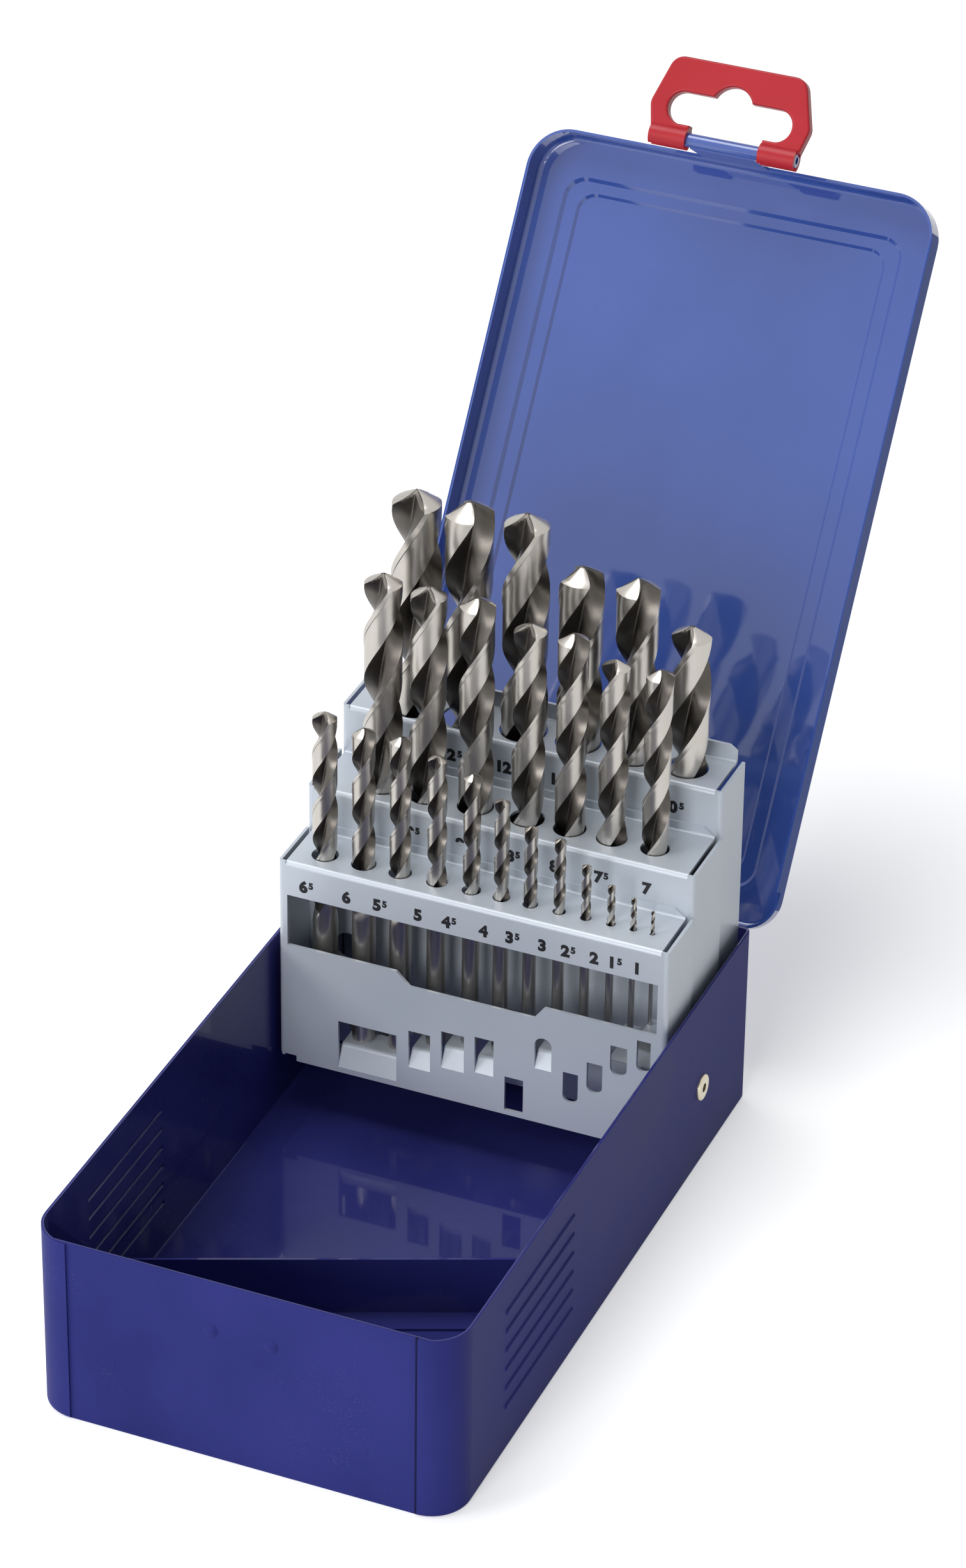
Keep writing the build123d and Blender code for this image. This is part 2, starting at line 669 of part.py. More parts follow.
def seat_height(tier, across):
    """Height of the seat that spans a place across one tier."""
    return next(top for low, high, *_, top in POCKETS[tier] if low < across < high)


def drill(diameter, length, chamfer_ratio):
    """Plain drill blank, shank end at the origin and point up."""
    radius = diameter / 2
    point = radius / math.tan(math.radians(POINT_ANGLE / 2))
    chamfer_size = chamfer_ratio * diameter
    outline = Polygon(
        (0, 0),
        (radius - chamfer_size, 0),
        (radius, chamfer_size),
        (radius, length - point),
        (0, length),
        align=None,
    )
    return revolve(Plane.XZ * outline, Axis.Z)


def seated_drills():
    """Every drill by name, standing on its seat in the upright rack."""
    drills = {}
    for tier, row in enumerate(DRILL_ROWS):
        for diameter, length, across in row:
            place = Pos(across, ROW_V[tier], seat_height(tier, across))
            blank = drill(diameter, length, CHAMFER_RATIO[tier])
            drills[drill_name(diameter)] = in_tray(place * blank)
    return drills


def pivot_rivet():
    """Right-hand tubular rivet through the tray wall, washer and cheek."""
    cheek_inside = TIER_HALF_W[1] - RACK_SHEET - END_PLAY
    head_end = cheek_inside - RIVET_HEAD_T
    rivet = rod_x(head_end, HALF_W + RIVET_HEAD_T, PIVOT_Y, PIVOT_Z, RIVET_R)
    rivet += rod_x(head_end, cheek_inside, PIVOT_Y, PIVOT_Z, RIVET_HEAD_R)
    outer = rod_x(HALF_W, HALF_W + RIVET_HEAD_T, PIVOT_Y, PIVOT_Z, RIVET_HEAD_R)
    outer = fillet(outer.edges().group_by(Axis.X)[-1], RIVET_EDGE_R)
    rivet += outer
    return rivet - rod_x(0, TRAY_W, PIVOT_Y, PIVOT_Z, RIVET_BORE_R)


def pivot_washer():
    """Right-hand spacer between the tray wall and the cheek."""
    inner = TIER_HALF_W[1] + END_PLAY
    washer = rod_x(inner, HALF_W - SHEET, PIVOT_Y, PIVOT_Z, WASHER_R)
    return washer - rod_x(0, TRAY_W, PIVOT_Y, PIVOT_Z, RIVET_R)


def all_parts():
    """Every piece by name, in the rest pose."""
    right_rivet = pivot_rivet()
    right_washer = pivot_washer()
    parts = {
        "tray_shell": tray_shell(),
        "bit_stop": bit_stop(),
        "hinge_leaf": hinge_leaf(),
        "hinge_pin": hinge_pin(),
        "pivot_rivet_right": right_rivet,
        "pivot_rivet_left": mirror(right_rivet, Plane.YZ),
        "pivot_washer_right": right_washer,
        "pivot_washer_left": mirror(right_washer, Plane.YZ),
        "lid": opened(lid_closed()),
        "hanger": opened(hanger_closed()),
        "front_bracket": in_tray(front_bracket()),
        "middle_bracket": in_tray(middle_bracket()),
        "rear_bracket": in_tray(rear_bracket()),
    }
    return parts | seated_drills()


os.makedirs("parts", exist_ok=True)
for name, part in all_parts().items():
    export_step(part, os.path.join("parts", name + ".step"))
    print(name, round(part.volume, 1), len(part.solids()))
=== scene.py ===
"""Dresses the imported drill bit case: painted sheet, fluted drills, size numerals and studio."""

from __future__ import annotations

import logging
import math
from dataclasses import dataclass, field
from enum import Enum
from typing import Callable, Sequence

import bpy
from mathutils import Matrix, Vector

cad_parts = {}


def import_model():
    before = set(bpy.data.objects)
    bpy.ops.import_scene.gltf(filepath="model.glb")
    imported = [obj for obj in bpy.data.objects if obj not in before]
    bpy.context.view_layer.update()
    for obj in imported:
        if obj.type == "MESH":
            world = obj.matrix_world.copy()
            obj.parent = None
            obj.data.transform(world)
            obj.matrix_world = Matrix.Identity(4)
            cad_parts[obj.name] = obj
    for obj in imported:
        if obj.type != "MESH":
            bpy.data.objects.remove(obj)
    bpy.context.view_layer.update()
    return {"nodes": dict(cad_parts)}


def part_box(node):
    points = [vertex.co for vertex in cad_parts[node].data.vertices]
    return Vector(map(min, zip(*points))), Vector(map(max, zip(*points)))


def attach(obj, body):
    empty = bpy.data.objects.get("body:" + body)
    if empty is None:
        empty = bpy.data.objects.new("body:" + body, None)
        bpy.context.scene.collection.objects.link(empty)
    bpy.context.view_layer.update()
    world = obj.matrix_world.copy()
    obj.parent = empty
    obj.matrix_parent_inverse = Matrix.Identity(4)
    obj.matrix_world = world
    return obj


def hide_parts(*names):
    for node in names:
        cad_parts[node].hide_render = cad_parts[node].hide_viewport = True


MM = 0.001
LOG = logging.getLogger("drill_case")

Colour = tuple[float, float, float]


class Flute(Enum):
    """The two surfaces of a twist drill that take a finish of their own."""

    LAND = 0
    GROOVE = 1


# --------------------------------------------------------------------------- shader building


@dataclass
class NodeBench:
    """A short way to add and wire nodes in one node tree."""

    tree: bpy.types.NodeTree

    def add(self, kind: str, **values: object) -> bpy.types.Node:
        """Adds a node and sets its properties.

        Args:
            kind: Node type name, such as ShaderNodeMath.
            **values: Node properties by name.

        Returns:
            The new node.
        """
        node = self.tree.nodes.new(kind)
        for name, value in values.items():
            setattr(node, name, value)
        return node

    def feed(self, node: bpy.types.Node, socket: str | int, source: object) -> None:
        """Wires a socket, or sets its value where the source is no socket.

        Args:
            node: Node that takes the value.
            socket: Name or index of its input.
            source: Output socket, number or colour.
        """
        if isinstance(source, bpy.types.NodeSocket):
            self.tree.links.new(source, node.inputs[socket])
        else:
            node.inputs[socket].default_value = source

    def math(self, operation: str, first: object, second: object = 0.0) -> bpy.types.NodeSocket:
        """Adds a Math node.

        Args:
            operation: Math operation name.
            first: First operand.
            second: Second operand.

        Returns:
            The result socket.
        """
        node = self.add("ShaderNodeMath", operation=operation)
        self.feed(node, 0, first)
        self.feed(node, 1, second)
        return node.outputs[0]

    def blend(self, factor: object, first: object, second: object) -> bpy.types.NodeSocket:
        """Adds a colour Mix node.

        Args:
            factor: Share of the second colour.
            first: Colour at factor 0.
            second: Colour at factor 1.

        Returns:
            The result socket.
        """
        node = self.add("ShaderNodeMix", data_type="RGBA")
        self.feed(node, 0, factor)
        self.feed(node, 6, first)
        self.feed(node, 7, second)
        return node.outputs[2]

    def ramp(self, source: object, low: float, high: float) -> bpy.types.NodeSocket:
        """Maps a range of values to 0 to 1, clamped.

        Args:
            source: Value to map.
            low: Value that becomes 0.
            high: Value that becomes 1.

        Returns:
            The result socket.
        """
        node = self.add("ShaderNodeMapRange")
        self.feed(node, "Value", source)
        node.inputs["From Min"].default_value = low
        node.inputs["From Max"].default_value = high
        return node.outputs[0]


def new_group(name: str, inputs: dict[str, float], outputs: dict[str, str]) -> NodeBench:
    """Starts a shader node group with named sockets.

    Args:
        name: Group name.
        inputs: Float inputs and their defaults.
        outputs: Output names and their socket types.

    Returns:
        A bench on the group's tree.
    """
    tree = bpy.data.node_groups.new(name, "ShaderNodeTree")
    for label, value in inputs.items():
        socket = tree.interface.new_socket(label, in_out="INPUT", socket_type="NodeSocketFloat")
        socket.default_value = value
    for label, kind in outputs.items():
        tree.interface.new_socket(label, in_out="OUTPUT", socket_type=kind)
    return NodeBench(tree)


def paint_skin_group() -> bpy.types.NodeTree:
    """Builds the group for sprayed paint: orange peel, cloudy gloss and fine scuffs.

    Returns:
        The node group.
    """
    bench = new_group(
        "Paint skin",
        {"Peel size": 900.0, "Peel depth": 0.3, "Gloss": 0.2, "Scuffs": 0.3},
        {"Height": "NodeSocketFloat", "Roughness": "NodeSocketFloat", "Tint": "NodeSocketFloat"},
    )
    entry = bench.add("NodeGroupInput")
    place = bench.add("ShaderNodeTexCoord").outputs["Object"]
    peel = bench.add("ShaderNodeTexNoise")
    bench.feed(peel, "Vector", place)
    bench.feed(peel, "Scale", entry.outputs["Peel size"])
    bench.feed(peel, "Detail", 1.5)
    cloud = bench.add("ShaderNodeTexNoise")
    bench.feed(cloud, "Vector", place)
    bench.feed(cloud, "Scale", 22.0)
    bench.feed(cloud, "Detail", 4.0)
    stretch = bench.add("ShaderNodeMapping")
    bench.feed(stretch, "Vector", place)
    stretch.inputs["Scale"].default_value = (60.0, 700.0, 420.0)
    streak = bench.add("ShaderNodeTexNoise")
    bench.feed(streak, "Vector", stretch.outputs[0])
    bench.feed(streak, "Scale", 1.0)
    bench.feed(streak, "Detail", 3.0)
    scuff = bench.ramp(streak.outputs[0], 0.66, 0.78)
    scuff = bench.math("MULTIPLY", scuff, entry.outputs["Scuffs"])
    rough = bench.math("MULTIPLY", bench.ramp(cloud.outputs[0], 0.3, 0.7), 0.10)
    rough = bench.math("ADD", rough, entry.outputs["Gloss"])
    rough = bench.math("ADD", rough, bench.math("MULTIPLY", scuff, 0.25))
    height = bench.math("MULTIPLY", peel.outputs[0], entry.outputs["Peel depth"])
    exit_node = bench.add("NodeGroupOutput")
    bench.feed(exit_node, "Height", height)
    bench.feed(exit_node, "Roughness", rough)
    bench.feed(exit_node, "Tint", bench.ramp(cloud.outputs[0], 0.25, 0.75))
    return bench.tree


def dust_group() -> bpy.types.NodeTree:
    """Builds the group for loose specks of grinding dust.

    Returns:
        The node group.
    """
    bench = new_group(
        "Dust specks", {"Size": 1400.0, "Amount": 0.5}, {"Mask": "NodeSocketFloat"}
    )
    entry = bench.add("NodeGroupInput")
    place = bench.add("ShaderNodeTexCoord").outputs["Object"]
    cells = bench.add("ShaderNodeTexVoronoi")
    bench.feed(cells, "Vector", place)
    bench.feed(cells, "Scale", entry.outputs["Size"])
    speck = bench.ramp(cells.outputs["Distance"], 0.20, 0.08)
    patch = bench.add("ShaderNodeTexNoise")
    bench.feed(patch, "Vector", place)
    bench.feed(patch, "Scale", 60.0)
    bench.feed(patch, "Detail", 5.0)
    near = bench.ramp(patch.outputs[0], 0.56, 0.72)
    mask = bench.math("MULTIPLY", bench.math("MULTIPLY", speck, near), entry.outputs["Amount"])
    exit_node = bench.add("NodeGroupOutput")
    bench.feed(exit_node, "Mask", mask)
    return bench.tree


def ground_grain_group() -> bpy.types.NodeTree:
    """Builds the group for the fine rings that grinding leaves round a drill.

    Returns:
        The node group.
    """
    bench = new_group(
        "Ground grain",
        {"Rings": 5000.0, "Depth": 0.3, "Stain": 0.3},
        {"Height": "NodeSocketFloat", "Stain": "NodeSocketFloat"},
    )
    entry = bench.add("NodeGroupInput")
    place = bench.add("ShaderNodeTexCoord").outputs["Object"]
    parts = bench.add("ShaderNodeSeparateXYZ")
    bench.feed(parts, 0, place)
    joined = bench.add("ShaderNodeCombineXYZ")
    bench.feed(joined, "X", bench.math("MULTIPLY", parts.outputs["X"], 120.0))
    bench.feed(joined, "Y", bench.math("MULTIPLY", parts.outputs["Y"], 120.0))
    bench.feed(joined, "Z", bench.math("MULTIPLY", parts.outputs["Z"], entry.outputs["Rings"]))
    rings = bench.add("ShaderNodeTexNoise")
    bench.feed(rings, "Vector", joined.outputs[0])
    bench.feed(rings, "Scale", 1.0)
    bench.feed(rings, "Detail", 2.0)
    stain = bench.add("ShaderNodeTexNoise")
    bench.feed(stain, "Vector", place)
    bench.feed(stain, "Scale", 160.0)
    bench.feed(stain, "Detail", 4.0)
    mask = bench.math("MULTIPLY", bench.ramp(stain.outputs[0], 0.35, 0.7),
                      entry.outputs["Stain"])
    exit_node = bench.add("NodeGroupOutput")
    bench.feed(exit_node, "Height",
               bench.math("MULTIPLY", rings.outputs[0], entry.outputs["Depth"]))
    bench.feed(exit_node, "Stain", mask)
    return bench.tree


@dataclass
class EffectShelf:
    """The shared effects, each built once."""

    paint_skin: bpy.types.NodeTree = field(default_factory=paint_skin_group)
    dust: bpy.types.NodeTree = field(default_factory=dust_group)
    grain: bpy.types.NodeTree = field(default_factory=ground_grain_group)


def use_group(bench: NodeBench, tree: bpy.types.NodeTree, **values: float) -> bpy.types.Node:
    """Places a group in a material with its own values.

    Args:
        bench: Bench on the material's tree.
        tree: Group to place.
        **values: Group inputs, with underscores for spaces.

    Returns:
        The group node.
    """
    node = bench.add("ShaderNodeGroup", node_tree=tree)
    for name, value in values.items():
        node.inputs[name.replace("_", " ")].default_value = value
    return node


def fresh_material(name: str) -> tuple[bpy.types.Material, NodeBench, bpy.types.Node]:
    """Makes a material with a Principled shader.

    Args:
        name: Material name.

    Returns:
        The material, a bench on its tree and its shader node.
    """
    material = bpy.data.materials.new(name)
    material.use_nodes = True
    bench = NodeBench(material.node_tree)
    shader = material.node_tree.nodes["Principled BSDF"]
    return material, bench, shader


def raise_surface(bench: NodeBench, shader: bpy.types.Node, height: object, depth: float) -> None:
    """Wires a height through a Bump node to the shader.

    Args:
        bench: Bench on the material's tree.
        shader: Shader that takes the normal.
        height: Height socket.
        depth: Bump distance in metres.
    """
    bump = bench.add("ShaderNodeBump")
    bump.inputs["Distance"].default_value = depth
    bench.feed(bump, "Height", height)
    bench.feed(shader, "Normal", bump.outputs[0])


@dataclass(frozen=True)
class GlossPaint:
    """Stoved gloss paint on pressed steel, dulled on the outside by handling.

    Lengths are millimetres. The outside is what lies further than reach from a core, or
    before the front plane. The core is given by its half-width and by how far it runs
    before the middle. A dark strip beside the seam on the right is painted shade, for the
    shadow in the seam's gap.
    """

    name: str
    deep: Colour
    light: Colour
    gloss: float
    coat: float
    reach: float
    dust: float = 0.0
    core: tuple[float, float] = (45.0, 1000.0)
    front: float = 1000.0
    coat_ior: float = 1.7
    coat_roughness: float = 0.05
    base_specular: float = 0.05
    dulling: float = 0.2
    seam: float = 0.0
    seam_width: float = 0.4
    # Painted shade: colour of the strip beside the right-hand seam, for the shadow in its gap.
    seam_shade: Colour = (0.008, 0.009, 0.045)
    dust_grey: Colour = (0.55, 0.55, 0.58)
    peel_rise: float = 0.04

    def mark_inside(self, bench: NodeBench, place: bpy.types.Node) -> bpy.types.NodeSocket:
        """Marks the faces that look into the case, which keep their gloss.

        Args:
            bench: Bench on the material's tree.
            place: Node with the separate object coordinates.

        Returns:
            A mask that is 1 inside.
        """
        half_width, run = self.core
        to_side = bench.math("ABSOLUTE", place.outputs["X"])
        sideways = bench.math("SUBTRACT", to_side, half_width * MM)
        forwards = bench.math("SUBTRACT", -run * MM, place.outputs["Y"])
        away = [bench.math("POWER", bench.math("MAXIMUM", length, 0.0), 2.0)
                for length in (sideways, forwards)]
        near = bench.math("LESS_THAN", bench.math("ADD", *away), (self.reach * MM) ** 2)
        behind = bench.math("GREATER_THAN", place.outputs["Y"], -self.front * MM)
        return bench.math("MULTIPLY", near, behind)

    def mark_seam(self, bench: NodeBench, place: bpy.types.Node) -> bpy.types.NodeSocket:
        """Marks the narrow strip beside the right-hand seam.

        Args:
            bench: Bench on the material's tree.
            place: Node with the separate object coordinates.

        Returns:
            A mask that is 1 in the strip, where the seam's shadow is painted.
        """
        past = bench.math("SUBTRACT", place.outputs["X"], self.seam * MM)
        gap = bench.math("ABSOLUTE", past)
        return bench.math("MULTIPLY", bench.math("LESS_THAN", gap, self.seam_width * MM),
                          bench.math("LESS_THAN", place.outputs["Y"], -self.front * MM))

    def build(self, shelf: EffectShelf) -> bpy.types.Material:
        """Builds the paint.

        Args:
            shelf: Shared effects.

        Returns:
            The material.
        """
        material, bench, shader = fresh_material(self.name)
        skin = use_group(bench, shelf.paint_skin, Peel_size=700.0, Peel_depth=0.25,
                         Gloss=self.gloss, Scuffs=0.35)
        colour = bench.blend(skin.outputs["Tint"], (*self.deep, 1.0), (*self.light, 1.0))
        if self.dust:
            specks = use_group(bench, shelf.dust, Size=1500.0, Amount=self.dust)
            colour = bench.blend(specks.outputs["Mask"], colour, (*self.dust_grey, 1.0))
        place = bench.add("ShaderNodeSeparateXYZ")
        bench.feed(place, 0, bench.add("ShaderNodeTexCoord").outputs["Object"])
        if self.seam:
            # Painted shade: darkens the strip beside the right-hand seam, where the seam's gap
            # lies in shadow.
            colour = bench.blend(self.mark_seam(bench, place), colour, (*self.seam_shade, 1.0))
        bench.feed(shader, "Base Color", colour)
        inside = self.mark_inside(bench, place)
        dulled = bench.math("MULTIPLY", bench.math("SUBTRACT", 1.0, inside), self.dulling)
        rough = bench.math("ADD", skin.outputs["Roughness"], dulled)
        bench.feed(shader, "Roughness", rough)
        shader.inputs["Specular IOR Level"].default_value = self.base_specular
        bench.feed(shader, "Coat Weight", bench.math("MULTIPLY", inside, self.coat))
        shader.inputs["Coat IOR"].default_value = self.coat_ior
        shader.inputs["Coat Roughness"].default_value = self.coat_roughness
        raise_surface(bench, shader, skin.outputs["Height"], self.peel_rise * MM)
        return material


@dataclass(frozen=True)
class SatinPaint:
    """Pale satin paint of the rack, with a little metal sheen."""

    name: str
    deep: Colour
    light: Colour

    def build(self, shelf: EffectShelf) -> bpy.types.Material:
        """Builds the paint.

        Args:
            shelf: Shared effects.

        Returns:
            The material.
        """
        material, bench, shader = fresh_material(self.name)
        skin = use_group(bench, shelf.paint_skin, Peel_size=1600.0, Peel_depth=0.3,
                         Gloss=0.3, Scuffs=0.5)
        specks = use_group(bench, shelf.dust, Size=1100.0, Amount=0.3)
        colour = bench.blend(skin.outputs["Tint"], (*self.deep, 1.0), (*self.light, 1.0))
        colour = bench.blend(specks.outputs["Mask"], colour, (0.10, 0.11, 0.13, 1.0))
        bench.feed(shader, "Base Color", colour)
        bench.feed(shader, "Roughness", skin.outputs["Roughness"])
        shader.inputs["Metallic"].default_value = 0.15
        raise_surface(bench, shader, skin.outputs["Height"], 0.00003)
        return material


@dataclass(frozen=True)
class GroundSteel:
    """Ground high-speed steel, bright on the lands and dark in the flutes."""

    name: str
    bright: Colour
    stained: Colour
    roughness: float
    rings: float
    stain: float = 0.35

    def build(self, shelf: EffectShelf) -> bpy.types.Material:
        """Builds the steel.

        Args:
            shelf: Shared effects.

        Returns:
            The material.
        """
        material, bench, shader = fresh_material(self.name)
        grain = use_group(bench, shelf.grain, Rings=self.rings, Depth=0.3, Stain=self.stain)
        colour = bench.blend(grain.outputs["Stain"], (*self.bright, 1.0), (*self.stained, 1.0))
        bench.feed(shader, "Base Color", colour)
        rough = bench.math("MULTIPLY", grain.outputs["Stain"], 0.15)
        bench.feed(shader, "Roughness", bench.math("ADD", rough, self.roughness))
        shader.inputs["Metallic"].default_value = 1.0
        raise_surface(bench, shader, grain.outputs["Height"], 0.00002)
        return material


@dataclass(frozen=True)
class MouldedPlastic:
    """Glossy injection-moulded plastic."""

    name: str
    deep: Colour
    light: Colour

    def build(self, shelf: EffectShelf) -> bpy.types.Material:
        """Builds the plastic.

        Args:
            shelf: Shared effects.

        Returns:
            The material.
        """
        material, bench, shader = fresh_material(self.name)
        skin = use_group(bench, shelf.paint_skin, Peel_size=450.0, Peel_depth=0.3,
                         Gloss=0.28, Scuffs=0.4)
        colour = bench.blend(skin.outputs["Tint"], (*self.deep, 1.0), (*self.light, 1.0))
        bench.feed(shader, "Base Color", colour)
        bench.feed(shader, "Roughness", skin.outputs["Roughness"])
        shader.inputs["Specular IOR Level"].default_value = 0.3
        shader.inputs["Subsurface Weight"].default_value = 0.05
        shader.inputs["Subsurface Scale"].default_value = 0.001
        raise_surface(bench, shader, skin.outputs["Height"], 0.00003)
        return material


@dataclass(frozen=True)
class PrintInk:
    """Flat printing ink on the rack."""

    name: str
    colour: Colour

    def build(self, shelf: EffectShelf) -> bpy.types.Material:
        """Builds the ink.

        Args:
            shelf: Shared effects.

        Returns:
            The material.
        """
        material, bench, shader = fresh_material(self.name)
        skin = use_group(bench, shelf.paint_skin, Peel_size=2500.0, Peel_depth=0.2,
                         Gloss=0.45, Scuffs=0.2)
        worn = tuple(c + 0.03 for c in self.colour)
        colour = bench.blend(skin.outputs["Tint"], (*self.colour, 1.0), (*worn, 1.0))
        bench.feed(shader, "Base Color", colour)
        bench.feed(shader, "Roughness", skin.outputs["Roughness"])
        shader.inputs["Specular IOR Level"].default_value = 0.1
        return material


@dataclass
class FinishBook:
    """Every finish of the case, by its maker's name."""

    shelf: EffectShelf
    tray_blue: bpy.types.Material = field(init=False)
    lid_blue: bpy.types.Material = field(init=False)
    rack_grey: bpy.types.Material = field(init=False)
    red: bpy.types.Material = field(init=False)
    land: bpy.types.Material = field(init=False)
    groove: bpy.types.Material = field(init=False)
    steel: bpy.types.Material = field(init=False)
    brass: bpy.types.Material = field(init=False)
    ink: bpy.types.Material = field(init=False)

    def __post_init__(self) -> None:
        """Builds all the materials."""
        shelf = self.shelf
        self.tray_blue = GlossPaint(
            "tray_gloss_blue", deep=(0.020, 0.024, 0.142), light=(0.034, 0.038, 0.205),
            gloss=0.24, coat=0.5, reach=9.65, dust=0.18, core=(45.0, 85.5), front=94.45,
            seam=45.0).build(shelf)
        self.lid_blue = GlossPaint(
            "lid_gloss_blue", deep=(0.034, 0.075, 0.31), light=(0.046, 0.096, 0.37),
            gloss=0.20, coat=1.0, reach=10.85).build(shelf)
        self.rack_grey = SatinPaint("rack_satin_grey", (0.50, 0.55, 0.62),
                                    (0.56, 0.61, 0.67)).build(shelf)
        self.red = MouldedPlastic("hanger_red", (0.36, 0.009, 0.016),
                                  (0.42, 0.014, 0.024)).build(shelf)
        self.land = GroundSteel(
            "drill_land", bright=(0.50, 0.475, 0.44), stained=(0.42, 0.39, 0.35),
            roughness=0.30, rings=6000.0, stain=0.2).build(shelf)
        self.groove = GroundSteel(
            "drill_groove", bright=(0.115, 0.105, 0.095), stained=(0.05, 0.045, 0.04),
            roughness=0.32, rings=2500.0, stain=0.6).build(shelf)
        self.steel = GroundSteel(
            "hinge_steel", bright=(0.45, 0.45, 0.46), stained=(0.30, 0.29, 0.28),
            roughness=0.3, rings=3000.0).build(shelf)
        self.brass = GroundSteel(
            "rivet_brass", bright=(0.66, 0.60, 0.46), stained=(0.40, 0.34, 0.22),
            roughness=0.28, rings=3000.0).build(shelf)
        self.ink = PrintInk("numeral_ink", (0.012, 0.012, 0.016)).build(shelf)


# --------------------------------------------------------------------------- mesh helpers


def clear_selection() -> None:
    """Leaves edit mode and deselects everything."""
    if bpy.context.object and bpy.context.object.mode != "OBJECT":
        bpy.ops.object.mode_set(mode="OBJECT")
    bpy.ops.object.select_all(action="DESELECT")


def take_up(obj: bpy.types.Object) -> None:
    """Makes an object the only one selected, and active.

    Args:
        obj: Object to work on.
    """
    clear_selection()
    obj.select_set(True)
    bpy.context.view_layer.objects.active = obj


def settle(obj: bpy.types.Object) -> None:
    """Applies an object's place to its mesh, so that it sits at the origin.

    Args:
        obj: Object to settle.
    """
    take_up(obj)
    bpy.ops.object.transform_apply(location=True, rotation=True, scale=True)


def dress(node: bpy.types.Object, material: bpy.types.Material) -> None:
    """Gives a node one finish.

    Args:
        node: Object to dress.
        material: Its finish.
    """
    node.data.materials.clear()
    node.data.materials.append(material)


# --------------------------------------------------------------------------- drills


@dataclass(frozen=True)
class DrillSpec:
    """One twist drill of the set."""

    node: str
    diameter: float
    length: float
    flute: float


